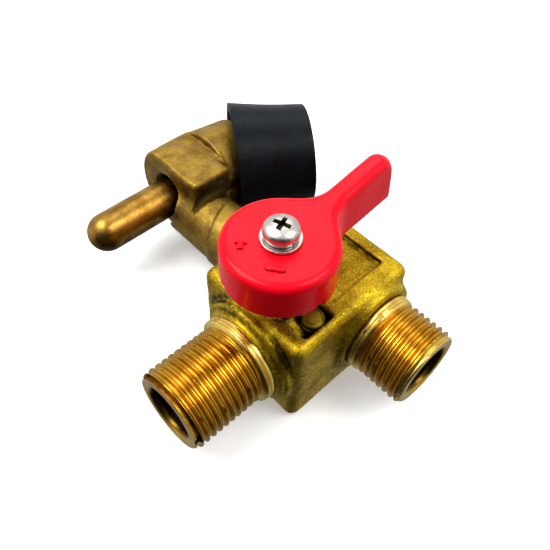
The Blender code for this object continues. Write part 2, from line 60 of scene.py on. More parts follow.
# ---------------------------------------------------------------- places, read from the frame
BALL = cad_box("ball")
AXIS_Z = (BALL[0].z + BALL[1].z) / 2
BODY = cad_box("body_casting")
PORT_A_END, PORT_B_END, REAR_END = BODY[0].y, BODY[1].x, BODY[1].y
RETAINER = cad_box("seat_retainer")
SPRING_RING = cad_box("spring_retainer")
PORT_B_Y = (SPRING_RING[0].y + SPRING_RING[1].y) / 2
BORE_R = (RETAINER[1].x - RETAINER[0].x) / 2 + 0.3
PIN = cad_box("plug_pin")
PLUG_X = (PIN[0].x + PIN[1].x) / 2
HANDLE = cad_box("handle")
SKIRT_BOTTOM = HANDLE[0].z
SKIRT_R = -HANDLE[0].y
FLAT_WASHER = cad_box("flat_washer")
SPRING_WASHER = cad_box("spring_washer")
SCREW = cad_box("handle_screw")
STEM = cad_box("stem")
GLAND = cad_box("gland_nut")
POST = cad_box("stop_pin")
POST_X, POST_Y = (POST[0].x + POST[1].x) / 2, (POST[0].y + POST[1].y) / 2

# ---------------------------------------------------------------- sizes of the castings
BLOCK_LOW = (-17.6, -7.6, 0.0)
BLOCK_HIGH = (15.0, 30.6, AXIS_Z + 14.2)
BOSS_A_R, BOSS_B_R = 14.1, 12.6
COLLAR_A_R, COLLAR_B_R = 11.6, 10.8
THREAD_R = 10.4775
THREAD_PITCH = 25.4 / 14
THREAD_DEPTH = 0.78
HEAD_FRONT = 10.0
HEAD_RIGHT = -42.3
HEAD_TOP = AXIS_Z + 11.4
HEAD_R = 13.7
RIDGE_Y = 22.8
NECK = (13.5, AXIS_Z - 3.0)
NECK_R = 8.5
PROBE_R = 6.2
HANDLE_TOP = AXIS_Z + 34.2
HANDLE_SET = math.radians(4.0)
ARM_TIP = 38.2
BOOT_MOUTH = Vector((-54.1, 34.0, AXIS_Z - 0.6))
BOOT_YAW, BOOT_PITCH = math.radians(34.0), math.radians(2.5)
BOOT_LENGTH = 23.15
BOOT_R = (17.9, 15.25)
BOOT_WALL, BOOT_BASE = 2.2, 5.3

ALONG_X = Matrix.Rotation(math.pi / 2, 4, "Y")
ALONG_Y = Matrix.Rotation(-math.pi / 2, 4, "X")
ALONG_MINUS_Y = Matrix.Rotation(math.pi / 2, 4, "X")


def at(x, y, z, turn=Matrix.Identity(4)):
    return Matrix.Translation((x, y, z)) @ turn


# ---------------------------------------------------------------- distance fields
def either(a, b, blend=0.0):
    """Union, with a fillet of about that size."""
    if not np.any(blend):
        return np.minimum(a, b)
    h = np.clip(0.5 + 0.5 * (b - a) / blend, 0, 1)
    return b + (a - b) * h - blend * h * (1 - h)


def both(a, b, blend=0.0):
    return -either(-a, -b, blend)


def without(a, b, blend=0.0):
    return both(a, -b, blend)


def rounded_box(x, y, z, low, high, radius):
    parts = [abs(v - (a + b) / 2) - (b - a) / 2 + radius for v, a, b in zip((x, y, z), low, high)]
    outside = np.sqrt(sum(np.maximum(p, 0) ** 2 for p in parts))
    return outside + np.minimum(np.maximum(np.maximum(parts[0], parts[1]), parts[2]), 0) - radius


def rounded_bar(a, b, low, high, radius):
    """A flat rectangle's distance in two directions."""
    parts = [abs(v - (p + q) / 2) - (q - p) / 2 + radius for v, p, q in zip((a, b), low, high)]
    outside = np.sqrt(np.maximum(parts[0], 0) ** 2 + np.maximum(parts[1], 0) ** 2)
    return outside + np.minimum(np.maximum(parts[0], parts[1]), 0) - radius


def disc(across, along, radius, low, high, edge):
    """A cylinder from its distance to the axis and its place along it."""
    return rounded_bar(across, along, (-radius, low), (radius, high), edge)


def level_set(field, low, high, step):
    """Vertices and quads of a field's zero level (surface nets), pulled onto the level itself."""
    axes = [np.arange(a, b + step, step) for a, b in zip(low, high)]
    x, y, z = np.meshgrid(*axes, indexing="ij", sparse=True)
    value = np.broadcast_to(field(x, y, z), [len(a) for a in axes])
    inside = value < 0
    corners = np.array([(i, j, k) for i in (0, 1) for j in (0, 1) for k in (0, 1)])
    size = np.array(value.shape) - 1
    count = sum(inside[i:i + size[0], j:j + size[1], k:k + size[2]].astype(np.int8)
                for i, j, k in corners)
    active = (count > 0) & (count < 8)
    cells = np.argwhere(active)
    sample = np.stack([value[tuple((cells + c).T)] for c in corners], axis=1)
    total, hits = np.zeros((len(cells), 3)), np.zeros((len(cells), 1))
    for a in range(8):
        for b in range(a + 1, 8):
            if np.abs(corners[a] - corners[b]).sum() != 1:
                continue
            crossed = (sample[:, a] < 0) != (sample[:, b] < 0)
            share = np.where(crossed, sample[:, a] / (sample[:, a] - sample[:, b] + 1e-12), 0)
            point = corners[a] + share[:, None] * (corners[b] - corners[a])
            total += np.where(crossed[:, None], point, 0)
            hits += crossed[:, None]
    points = np.array(low) + (cells + total / hits) * step
    for _ in range(3):
        normal = gradient(field, points)
        points -= np.clip(field(*points.T), -step / 2, step / 2)[:, None] * normal
    number = np.full(size, -1)
    number[active] = np.arange(len(cells))
    quads = []
    for d in range(3):
        e, f = (d + 1) % 3, (d + 2) % 3
        start = [slice(1, n) for n in size]
        start[d] = slice(0, size[d])
        end = list(start)
        end[d] = slice(1, size[d] + 1)
        first, second = inside[tuple(start)], inside[tuple(end)]
        for facing in (True, False):
            edge = np.argwhere((first != second) & (first == facing))
            edge[:, e] += 1
            edge[:, f] += 1
            around = []
            for de, df in ((1, 1), (0, 1), (0, 0), (1, 0)):
                cell = edge.copy()
                cell[:, e] -= de
                cell[:, f] -= df
                around.append(number[tuple(cell.T)])
            quads.append(np.stack(around if facing else around[::-1], axis=1))
    return points, np.concatenate(quads)


def gradient(field, points, reach=0.05):
    slopes = []
    for axis in range(3):
        shift = np.zeros(3)
        shift[axis] = reach
        slopes.append(field(*(points + shift).T) - field(*(points - shift).T))
    slopes = np.stack(slopes, axis=1)
    return slopes / (np.linalg.norm(slopes, axis=1, keepdims=True) + 1e-12)


# ---------------------------------------------------------------- meshes
def add_to_scene(name, data):
    obj = bpy.data.objects.new(name, data)
    bpy.context.scene.collection.objects.link(obj)
    return obj


def store(mesh, **numbers):
    """Keeps one number per point, which a finish reads by its name."""
    for name, values in numbers.items():
        attribute = mesh.attributes.new(name, "FLOAT", "POINT")
        attribute.data.foreach_set("value", np.asarray(values, dtype=np.float32))


def new_object(name, mesh, finish, body, slot, *nodes):
    """A piece in metres that takes a finish, rides on a body and stands for CAD nodes."""
    obj = add_to_scene(name, mesh)
    mesh.materials.clear()
    mesh.materials.append(finish)
    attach(obj, body)
    if nodes:
        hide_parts(*nodes)
    return obj


def mesh_from(name, points, faces, smooth_angle=None):
    mesh = bpy.data.meshes.new(name)
    mesh.from_pydata([tuple(p) for p in np.asarray(points) * MM], [], [tuple(f) for f in faces])
    mesh.shade_smooth()
    if smooth_angle:
        mesh.set_sharp_from_angle(angle=math.radians(smooth_angle))
    mesh.validate()
    return mesh


def field_mesh(name, field, low, high, step, rough, painted_shade=lambda points: 0.0):
    """Meshes a field, roughens it like a cast surface, and stores its worn edges and hollows, with
    any painted shade added to the hollows.
    """
    points, quads = level_set(field, low, high, step)
    normal = gradient(field, points, reach=0.3)
    edge_reach, hollow_reach = 1.1, 2.4
    worn = (field(*(points - normal * edge_reach).T) + edge_reach) / edge_reach
    hollow = 1 - field(*(points + normal * hollow_reach).T) / hollow_reach
    hollow += painted_shade(points)
    offset = np.array([rough(Vector(p)) for p in points])
    mesh = mesh_from(name, points + normal * offset[:, None], quads)
    store(mesh, worn=np.clip(worn, 0, 1), hollow=np.clip(hollow, 0, 1))
    return mesh


def eased(profile, steps=5):
    """Rounds each corner of a profile whose point has a third value: how far it is cut back."""
    result = []
    for i, point in enumerate(profile):
        if len(point) == 2:
            result.append(point)
            continue
        corner = Vector(point[:2])
        before = Vector(profile[i - 1][:2]) - corner
        after = Vector(profile[(i + 1) % len(profile)][:2]) - corner
        start = corner + before.normalized() * min(point[2], before.length * 0.49)
        end = corner + after.normalized() * min(point[2], after.length * 0.49)
        for k in range(steps + 1):
            t = k / steps
            result.append(tuple((1 - t) ** 2 * start + 2 * t * (1 - t) * corner + t * t * end))
    return result


def lathe(name, profile, place, sides=96, ring=False, smooth_angle=38):
    """Turns a (radius, height) profile that runs down the outer side about the place's local Z."""
    outline = eased(profile)
    shape = bmesh.new()
    rows = []
    for radius, height in outline:
        if radius < 1e-6:
            rows.append([shape.verts.new(place @ Vector((0, 0, height)))] * sides)
            continue
        angles = (2 * math.pi * i / sides for i in range(sides))
        row = [Vector((radius * math.cos(a), radius * math.sin(a), height)) for a in angles]
        rows.append([shape.verts.new(place @ point) for point in row])
    pairs = list(zip(rows, rows[1:])) + ([(rows[-1], rows[0])] if ring else [])
    for upper, lower in pairs:
        for i in range(sides):
            j = (i + 1) % sides
            around = [upper[i], lower[i], lower[j], upper[j]]
            corners = [v for k, v in enumerate(around) if v not in around[:k]]
            if len(corners) > 2:
                shape.faces.new(corners)
    bmesh.ops.scale(shape, vec=(MM, MM, MM), verts=shape.verts)
    mesh = bpy.data.meshes.new(name)
    shape.to_mesh(mesh)
    shape.free()
    mesh.shade_smooth()
    mesh.set_sharp_from_angle(angle=math.radians(smooth_angle))
    return mesh


def block_mesh(name, corners, place=Matrix.Identity(4)):
    """A box from its eight corners, four below and four above, each round the same way."""
    faces = [(3, 2, 1, 0), (4, 5, 6, 7)]
    faces += [(i, (i + 1) % 4, (i + 1) % 4 + 4, i + 4) for i in range(4)]
    return mesh_from(name, [place @ Vector(c) for c in corners], faces)


def cut_from(obj, mesh):
    """Cuts a mesh out of a piece and keeps only the result."""
    cutter = add_to_scene("cutter", mesh)
    modifier = obj.modifiers.new("cut", "BOOLEAN")
    modifier.operation = "DIFFERENCE"
    modifier.solver = "EXACT"
    modifier.object = cutter
    apply_modifiers(obj)
    bpy.data.objects.remove(cutter, do_unlink=True)


def evaluated_mesh(obj):
    bpy.context.view_layer.update()
    result = obj.evaluated_get(bpy.context.evaluated_depsgraph_get())
    return bpy.data.meshes.new_from_object(result)


def apply_modifiers(obj):
    result = evaluated_mesh(obj)
    obj.modifiers.clear()
    obj.data = result


def wire(name, points, radius, taper=None):
    """A thin bent strip or wire as a mesh."""
    curve = bpy.data.curves.new(name, "CURVE")
    curve.dimensions = "3D"
    curve.bevel_depth = radius * MM
    curve.bevel_resolution = 3
    curve.use_fill_caps = True
    spline = curve.splines.new("POLY")
    spline.points.add(len(points) - 1)
    for i, (point, place) in enumerate(zip(spline.points, points)):
        point.co = (*(Vector(place) * MM), 1.0)
        point.radius = taper(i / (len(points) - 1)) if taper else 1.0
    holder = add_to_scene(name, curve)
    mesh = evaluated_mesh(holder)
    bpy.data.objects.remove(holder, do_unlink=True)
    mesh.shade_smooth()
    return mesh


# ---------------------------------------------------------------- finishes
class Finish:
    """A material's node graph, with short names for the nodes that the finishes share."""

    def __init__(self, name, **settings):
        self.material = bpy.data.materials.new(name)
        self.material.use_nodes = True
        self.tree = self.material.node_tree
        self.shader = self.tree.nodes["Principled BSDF"]
        for key, value in settings.items():
            self.shader.inputs[key.replace("_", " ")].default_value = value
        self.place = self.add("ShaderNodeTexCoord").outputs["Object"]

    def add(self, kind, **settings):
        node = self.tree.nodes.new(kind)
        for key, value in settings.items():
            setattr(node, key, value)
        return node

    def join(self, value, socket):
        if isinstance(value, bpy.types.NodeSocket):
            self.tree.links.new(value, socket)
        else:
            socket.default_value = value

    def noise(self, size_mm, detail=3.0, roughness=0.55, distortion=0.0, stretch=None):
        """Noise whose features are about size_mm across."""
        node = self.add("ShaderNodeTexNoise")
        node.inputs["Scale"].default_value = 1 / (size_mm * MM)
        node.inputs["Detail"].default_value = detail
        node.inputs["Roughness"].default_value = roughness
        node.inputs["Distortion"].default_value = distortion
        place = self.place
        if stretch:
            mapping = self.add("ShaderNodeMapping")
            mapping.inputs["Scale"].default_value = stretch
            self.join(place, mapping.inputs["Vector"])
            place = mapping.outputs["Vector"]
        self.join(place, node.inputs["Vector"])
        return node.outputs["Fac"]

    def attribute(self, name):
        return self.add("ShaderNodeAttribute", attribute_name=name).outputs["Fac"]

    def spread(self, value, low, high, to_low=0.0, to_high=1.0):
        node = self.add("ShaderNodeMapRange", interpolation_type="SMOOTHSTEP")
        for socket, number in zip(node.inputs, (value, low, high, to_low, to_high)):
            self.join(number, socket)
        return node.outputs["Result"]

    def math(self, operation, a, b=0.5):
        node = self.add("ShaderNodeMath", operation=operation)
        self.join(a, node.inputs[0])
        self.join(b, node.inputs[1])
        return node.outputs[0]

    def mix(self, share, a, b):
        node = self.add("ShaderNodeMix", data_type="RGBA")
        self.join(share, node.inputs["Factor"])
        self.join((*a, 1.0) if isinstance(a, tuple) else a, node.inputs["A"])
        self.join((*b, 1.0) if isinstance(b, tuple) else b, node.inputs["B"])
        return node.outputs["Result"]

    def mottled(self, a, b, *noise):
        """Two shades in soft patches; the other values are those of noise()."""
        return self.mix(self.spread(self.noise(*noise), 0.35, 0.65), a, b)

    def uneven_roughness(self, low, high, *noise):
        self.set("Roughness", self.spread(self.noise(*noise), 0.3, 0.7, low, high))

    def axis(self, index):
        node = self.add("ShaderNodeSeparateXYZ")
        self.join(self.place, node.inputs[0])
        return node.outputs[index]

    def set(self, socket, value):
        self.join(value, self.shader.inputs[socket])

    def bump(self, *layers):
        """Each layer is a height and its depth in millimetres."""
        normal = None
        for height, depth_mm in layers:
            node = self.add("ShaderNodeBump")
            node.inputs["Strength"].default_value = 1.0
            node.inputs["Distance"].default_value = depth_mm * MM
            self.join(height, node.inputs["Height"])
            if normal:
                self.join(normal, node.inputs["Normal"])
            normal = node.outputs["Normal"]
        self.set("Normal", normal)


def cast_brass():
    f = Finish("cast_brass_finish", Metallic=0.9)
    on_head = f.spread(f.axis(0), -0.020, -0.030)
    stains = f.noise(7.0, 4.0, 0.6)
    color = f.mix(f.spread(stains, 0.35, 0.65), (0.36, 0.235, 0.010), (0.60, 0.42, 0.018))
    head = f.mix(f.spread(f.noise(6.0, 5.0, 0.6), 0.38, 0.62), (0.22, 0.135, 0.026),
                 (0.36, 0.235, 0.045))
    patch = f.spread(f.noise(5.0, 3.0, 0.5), 0.56, 0.66)
    head = f.mix(f.math("MULTIPLY", patch, 0.6), head, (0.24, 0.135, 0.075))
    color = f.mix(on_head, color, head)
    grain = f.noise(0.42, 2.0, 0.6)
    sparkle = f.math("MULTIPLY", f.spread(grain, 0.56, 0.68),
                     f.spread(on_head, 1.0, 0.0, 0.15, 0.75))
    color = f.mix(sparkle, color, (0.95, 0.74, 0.13))
    pits = f.math("MULTIPLY", f.spread(grain, 0.44, 0.33), f.spread(on_head, 1.0, 0.0, 0.15, 0.6))
    color = f.mix(pits, color, (0.08, 0.048, 0.004))
    # edges lighten to bright brass: rubbed wear plus painted highlight, weaker on the head
    rub_and_highlight = f.math("ADD", f.attribute("worn"),
                 f.spread(f.noise(2.2, 4.0, 0.65), 0.3, 0.7, -0.22, 0.22))
    rub_and_highlight = f.spread(rub_and_highlight, 0.30, 0.80, 0.0, f.spread(on_head, 0.0, 1.0, 0.6, 0.4))
    color = f.mix(rub_and_highlight, color, (0.82, 0.58, 0.12))
    # hollows and the stain patches darken towards near black: grime plus painted shade
    grime_and_shade = f.math("ADD", f.attribute("hollow"),
                  f.spread(f.noise(1.6, 4.0, 0.6), 0.3, 0.7, -0.16, 0.16))
    color = f.mix(f.spread(grime_and_shade, 0.20, 0.80, 0.0, 0.92), color, (0.035, 0.022, 0.003))
    f.set("Base Color", color)
    f.uneven_roughness(0.42, 0.58, 1.2, 3.0)
    f.bump((f.noise(3.0, 3.0), 0.10), (grain, 0.07), (f.noise(0.16, 2.0), 0.02))
    return f.material


def machined_brass(name="machined_brass_finish", pale=(0.68, 0.42, 0.055),
                   deep=(0.48, 0.25, 0.018), rough=0.0):
    f = Finish(name, Metallic=1.0)
    color = f.mottled(deep, pale, 3.5, 4.0, 0.6)
    color = f.mix(f.spread(f.noise(0.9, 3.0, 0.6), 0.64, 0.72, 0.0, 0.6), color, (0.22, 0.10, 0.02))
    color = f.mix(f.math("MULTIPLY", f.attribute("deep"), 0.65), color, (0.50, 0.27, 0.03))
    # painted shade inside the bores
    color = f.mix(f.attribute("dark"), color, (0.07, 0.04, 0.012))
    color = f.mix(f.attribute("pale"), color, (0.90, 0.68, 0.21))
    f.set("Base Color", color)
    f.uneven_roughness(0.22 + rough, 0.33 + rough, 2.5, 3.0, 0.6)
    f.bump((f.noise(0.7, 2.0, 0.5), 0.007), (f.noise(3.0, 2.0), 0.04))
    return f.material


def pin_bronze():
    f = Finish("pin_bronze_finish", Metallic=1.0)
    along = (1.0, 0.14, 1.0)
    color = f.mottled((0.281, 0.148, 0.0259), (0.429, 0.259, 0.0555), 4.0, 5.0, 0.65)
    scuffs = f.spread(f.noise(1.1, 4.0, 0.6, stretch=(1.0, 2.2, 1.0)), 0.58, 0.70, 0.0, 0.6)
    color = f.mix(scuffs, color, (0.459, 0.281, 0.148))
    color = f.mix(f.spread(f.noise(0.6, 3.0), 0.66, 0.74, 0.0, 0.7), color, (0.118, 0.0592, 0.0148))
    ragged = f.spread(f.noise(2.5, 4.0, 0.6), 0.3, 0.7, -0.0012, 0.0012)
    # below the axis the pin darkens: painted shade on its underside
    under = f.spread(f.math("ADD", f.axis(2), ragged), (AXIS_Z + 2.0) * MM, (AXIS_Z - 2.5) * MM,
                     0.0, 0.85)
    color = f.mix(under, color, (0.074, 0.037, 0.00888))
    # towards the head the pin turns near black: painted shade round its root
    root_shade = f.spread(f.math("ADD", f.axis(1), ragged), 0.0035, 0.0095, 0.0, 0.9)
    color = f.mix(root_shade, color, (0.0333, 0.0163, 0.00444))
    f.set("Base Color", color)
    f.uneven_roughness(0.30, 0.44, 1.8, 4.0, 0.6)
    f.bump((f.noise(0.35, 3.0, 0.6, stretch=along), 0.012), (f.noise(2.0, 3.0), 0.04))
    return f.material


def red_paint():
    f = Finish("red_paint_finish", Coat_Weight=0.14, Coat_Roughness=0.04, Roughness=0.28,
               Specular_IOR_Level=0.12)
    color = f.mottled((0.84, 0.002, 0.012), (0.92, 0.005, 0.022), 9.0, 3.0)
    # edges lighten to pink: thin paint plus painted highlight
    thin = f.spread(f.attribute("worn"), 0.35, 0.9, 0.0, 0.35)
    color = f.mix(thin, color, (0.95, 0.06, 0.07))
    scuffs = f.spread(f.noise(0.7, 4.0, 0.6, distortion=1.5), 0.66, 0.72, 0.0, 0.7)
    color = f.mix(scuffs, color, (0.40, 0.0, 0.006))
    color = f.mix(f.attribute("shade"), color, (0.24, 0.0, 0.003))
    f.set("Base Color", color)
    f.bump((f.noise(2.6, 2.0), 0.05), (f.noise(0.7, 2.0), 0.008))
    return f.material


def bright_zinc():
    f = Finish("bright_zinc_finish", Metallic=1.0)
    color = f.mottled((0.47, 0.45, 0.41), (0.60, 0.575, 0.53), 1.6, 4.0, 0.6)
    # deep in the cross recess the zinc darkens: painted shade
    recess_shade = f.spread(f.axis(2), (SCREW[1].z - 0.55) * MM, (SCREW[1].z - 1.2) * MM, 0.0, 1.0)
    inner = f.math("MULTIPLY", recess_shade, f.attribute("recess"))
    color = f.mix(inner, color, (0.10, 0.085, 0.06))
    f.set("Base Color", color)
    f.uneven_roughness(0.30, 0.40, 0.8, 4.0, 0.6)
    f.bump((f.noise(1.2, 2.0, 0.5), 0.002),)
    return f.material


def steel():
    f = Finish("plated_steel_finish", Metallic=1.0)
    f.set("Base Color", f.mottled((0.45, 0.44, 0.42), (0.66, 0.65, 0.62), 2.0, 4.0))
    f.uneven_roughness(0.22, 0.36, 0.9, 3.0)
    f.bump((f.noise(0.3, 3.0, stretch=(1, 1, 6)), 0.01),)
    return f.material


def boot_rubber():
    f = Finish("boot_rubber_finish", Specular_IOR_Level=0.22)
    color = f.mottled((0.0005, 0.002, 0.004), (0.002, 0.0055, 0.009), 6.0, 4.0, 0.6)
    bloom = f.spread(f.noise(3.2, 5.0, 0.65), 0.54, 0.72, 0.0, 0.3)
    color = f.mix(bloom, color, (0.005, 0.014, 0.021))
    marks = f.spread(f.noise(0.9, 4.0, 0.6, distortion=0.6), 0.67, 0.73, 0.0, 0.5)
    color = f.mix(marks, color, (0.025, 0.0375, 0.0425))
    f.set("Base Color", color)
    f.uneven_roughness(0.34, 0.44, 2.4, 4.0, 0.6)
    f.bump((f.noise(0.35, 3.0), 0.012), (f.noise(6.0, 2.0), 0.10))
    return f.material


def seal_rubber():
    f = Finish("seal_rubber_finish")
    f.set("Base Color", f.mottled((0.012, 0.012, 0.012), (0.03, 0.03, 0.03), 0.8, 3.0))
    f.uneven_roughness(0.5, 0.7, 0.5, 3.0)
    f.bump((f.noise(0.2, 3.0), 0.01),)
    return f.material


def white_ptfe():
    f = Finish("white_ptfe_finish", Subsurface_Weight=0.1, Subsurface_Scale=0.001)
    f.set("Base Color", f.mottled((0.78, 0.78, 0.74), (0.88, 0.88, 0.85), 1.5, 3.0))
    f.uneven_roughness(0.38, 0.52, 0.8, 3.0)
    f.bump((f.noise(0.25, 3.0), 0.008),)
    return f.material


CAST, MACHINED, BRONZE = cast_brass(), machined_brass(), pin_bronze()
WORN = machined_brass("worn_brass_finish", (0.40, 0.29, 0.03), (0.12, 0.08, 0.008), rough=0.3)
RED, ZINC, STEEL = red_paint(), bright_zinc(), steel()
RUBBER, SEAL, PTFE = boot_rubber(), seal_rubber(), white_ptfe()


# ---------------------------------------------------------------- castings
def ramp(value, low, high):
    """0 below low, 1 above high, and smooth between."""
    t = np.clip((value - low) / (high - low), 0, 1)
    return t * t * (3 - 2 * t)


def casting_field(x, y, z):
    top = BLOCK_HIGH[2]
    block = rounded_box(x, y, z, BLOCK_LOW, BLOCK_HIGH, 2.4)
    recess_floor = top - 0.15 - 1.0 * ramp(y, 9.0, 25.0)
    recess = both(rounded_bar(x, y, (-13.0, -3.3), (9.5, 26.4), 0.6), recess_floor - z)
    block = without(block, recess, 0.45)
    pocket = both(rounded_bar(x, y, (3.2, -3.3), (12.4, 6.2), 1.0), AXIS_Z + 8.6 - z)
    stub = both(np.hypot(x - POST_X, y - POST_Y) - 3.5 + 0.2 * (z - AXIS_Z - 8.6),
                z - AXIS_Z - 12.0)
    block = either(without(block, pocket, 0.8), both(stub, AXIS_Z + 6.0 - z), 0.7)
    block = either(block, disc(np.hypot(x, y), z, 5.8, 20.0, AXIS_Z + 15.5, 0.4), 0.6)

    # bosses behind the threads
    across_a = np.hypot(x, z - AXIS_Z)
    boss_a = disc(across_a, -y, BOSS_A_R, 0.0, 9.6, 1.0)
    shoulder = both(across_a - 12.6 - (y + 9.4) * 0.5, np.maximum(-10.9 - y, y + 5.0))
    boss_a = either(boss_a, shoulder, 0.5)
    across_b = np.hypot(y - PORT_B_Y, z - AXIS_Z)
    boss_b = disc(across_b, x, BOSS_B_R, 5.0, 16.6, 0.8)
    body = either(either(block, boss_a, 0.9), boss_b, 2.2)

    # head: round, with a flat top and a square right-hand side in front of the ridge
    from_plug = np.hypot(x - PLUG_X, z - AXIS_Z)
    front = disc(from_plug, y, HEAD_R, HEAD_FRONT, 30.0, 0.9)
    square = rounded_box(x, y, z, (PLUG_X, HEAD_FRONT, AXIS_Z - 15.2), (HEAD_RIGHT, RIDGE_Y, 40.0),
                         1.3)
    front = either(front, square, 0.8)
    taper = (HEAD_R - np.clip((y - RIDGE_Y) / 13.0, 0, 1) * 1.5
             - np.clip((y - 35.8) / 2.9, 0, 1) ** 2 * 2.4)
    rear = both(from_plug - taper, np.maximum(y - REAR_END, HEAD_FRONT + 4 - y), 0.6)
    head = either(both(front, y - RIDGE_Y - 1.0, 0.5), rear, 0.5)
    flat = HEAD_TOP + np.maximum(y - RIDGE_Y - 0.4, 0) * 4.0
    head = both(head, z - flat, 1.5)
    head = both(head, x - HEAD_RIGHT, 1.5)

    along_neck = x + 33.8 + 0.42 * (y - 7.8)
    neck = np.hypot(y - NECK[0], z - NECK[1]) - NECK_R - 0.4 * ramp(along_neck, -0.4, 0.4)
    neck = both(neck, np.maximum(-50.0 - x, x + 12.0))
    body = either(either(body, neck, 3.2), head, 2.2)

    # bores
    body = without(body, both(across_a - BORE_R - 0.7, np.maximum(y - 8.6, -14 - y)))
    body = without(body, both(across_b - BORE_R - 0.7, np.maximum(-12.3 - x, x - 20)))
    body = without(body, both(np.hypot(x, y) - 4.95, 24.6 - z))
    body = without(body, both(np.hypot(x, y) - 3.7, AXIS_Z - z))
    return without(body, from_plug - PROBE_R - 0.7)


def cast_roughness(point):
    """Unevenness of the sand casting: stronger on the block than on the head."""
    smooth = 0.55 if point.x < -22 else 1.0
    lumps = noise.noise(point / 4.5) * 0.09 + noise.noise(point / 1.3 + Vector((9, 2, 4))) * 0.05
    grain = noise.noise(point / 0.5) * 0.028
    return smooth * (lumps + grain)


def painted_shade_patches(points):
    """Painted shade on the head's right face and round port A's boss."""
    # these patches are added to the hollows, which the finish paints dark
    x, y, z = points.T
    boss = ramp(y, BLOCK_LOW[1] + 1.5, BLOCK_LOW[1] - 0.5) * ramp(y, -10.6, -9.6)
    boss = boss * ramp(z, AXIS_Z, AXIS_Z + 9)
    face = ramp(x, HEAD_RIGHT - 0.9, HEAD_RIGHT - 0.1) * ramp(x, HEAD_RIGHT + 2.5, HEAD_RIGHT + 0.8)
    face = face * ramp(z, AXIS_Z + 2.0, AXIS_Z + 5.0) * ramp(z, HEAD_TOP, HEAD_TOP - 1.4)
    return 0.35 * boss + 0.9 * face


def make_casting():
    low = (PLUG_X - 16, BLOCK_LOW[1] - 5, -1.5)
    high = (PORT_B_END - 14, REAR_END + 1.5, BLOCK_HIGH[2] + 4)
    step = 0.38
    mesh = field_mesh("casting", casting_field, low, high, step, cast_roughness, painted_shade_patches)
    new_object("casting", mesh, CAST, "valve_body", "cast_brass", "body_casting")


# ---------------------------------------------------------------- threaded ends
def thread_groove(low, high, angle_steps):
    """Points and quads of a helical thread between two places along its axis (local Z)."""
    minor, across = THREAD_R - THREAD_DEPTH, 14
    turns = math.ceil((high - low) / THREAD_PITCH) + 1
    j, i = np.meshgrid(np.arange(turns * angle_steps + 1), np.arange(across), indexing="ij")
    along = low + THREAD_PITCH * (j / angle_steps + i / across - 1)
    crest = np.clip(abs(2 * i / across - 1) * 1.9 - 0.62, 0, 1)
    fade = ramp(along, low, low + 1.2)
    radius = minor + THREAD_DEPTH * crest * fade
    radius = np.minimum(radius, minor - 0.15 + (high - along) * 0.75)
    radius = np.where(along <= low, minor - 0.4, radius)
    along = np.clip(along, low, high)
    radius = np.where(along >= high, minor - 0.15, radius)
    angle = 2 * np.pi * j / angle_steps
    points = np.stack([radius * np.cos(angle), radius * np.sin(angle), along], axis=-1)
    points = points.reshape(-1, 3)
    index = (j * across + i)[:-angle_steps]
    first, after = index[:-1], index[1:]
    next_turn = (np.arange(len(index)) + angle_steps) * across
    right = np.concatenate([index[:, 1:], next_turn[:, None]], axis=1)
    quads = np.stack([first, after, right[1:], right[:-1]], axis=-1).reshape(-1, 4)
    return points, quads, 1 - crest.ravel() * fade.ravel()


def make_threaded_end(name, place, inner, start, end, collar_r, seed):
    sides = 144
    collar_start, collar_end, minor = start + 1.4, start + 4.2, THREAD_R - THREAD_DEPTH
    outline = [(BORE_R, inner), (BORE_R + 2, inner), (BORE_R + 2, collar_start),
               (collar_r, collar_start), (collar_r + 0.15, collar_start + 0.4)]
    for line in (1.1, 1.9):
        r = collar_r + 0.15 - 0.1 * line
        outline += [(r, collar_start + line - 0.12), (r - 0.22, collar_start + line),
                    (r, collar_start + line + 0.12)]
    lip = len(outline)
    outline += [(collar_r - 0.15, collar_end - 0.5), (minor + 0.3, collar_end),
                (minor - 0.3, collar_end + 0.3), (minor - 0.3, end - 0.3), (minor - 0.15, end)]
    mouth = len(outline)
    outline += [(BORE_R + 0.6, end), (BORE_R, end - 0.6), (BORE_R, end - 1.6)]
    angles = np.arange(sides) * 2 * np.pi / sides
    grid = np.array([[(r * math.cos(a), r * math.sin(a), h) for a in angles] for r, h in outline])
    index = np.arange(len(outline) * sides).reshape(len(outline), sides)
    after, below = np.roll(index, -1, axis=1), np.roll(index, -1, axis=0)
    quads = np.stack([index, after, np.roll(after, -1, axis=0), below], axis=-1).reshape(-1, 4)
    pale, dark = np.zeros((len(outline), sides)), np.zeros((len(outline), sides))
    pale[3:lip + 2] = 0.75
    pale[mouth - 1:mouth + 1] = 0.25
    # the inner end and the bore past the mouth get painted shade
    dark[:2], dark[mouth + 1:] = 0.85, 0.85
    groove, groove_quads, deep = thread_groove(collar_end - 0.6, end, sides)
    points = np.concatenate([grid.reshape(-1, 3), groove])
    quads = np.concatenate([quads, groove_quads + grid.size // 3])
    rest = np.zeros(len(groove))
    tip = 0.5 * ramp(groove[:, 2], end - 1.5, end - 1.0)

    dice = random.Random(seed)
    for _ in range(30):
        where, turn = dice.uniform(collar_start, end - 0.6), dice.uniform(0, 2 * math.pi)
        size, depth = dice.uniform(0.25, 0.6), dice.uniform(0.08, 0.28)
        spot = np.array([THREAD_R * math.cos(turn), THREAD_R * math.sin(turn), where])
        dent = depth * np.exp(-((points - spot) ** 2).sum(axis=1) / size ** 2)
        points[:, :2] *= (1 - dent / THREAD_R)[:, None]
    matrix = np.array(place)
    mesh = mesh_from(name, points @ matrix[:3, :3].T + matrix[:3, 3], quads, smooth_angle=50)
    store(mesh, pale=np.concatenate([pale.ravel(), tip]), dark=np.concatenate([dark.ravel(), rest]),
          deep=np.concatenate([np.zeros(pale.size), deep * (1 - tip)]))
    new_object(name, mesh, MACHINED, "valve_body", "machined_brass", "body_casting")


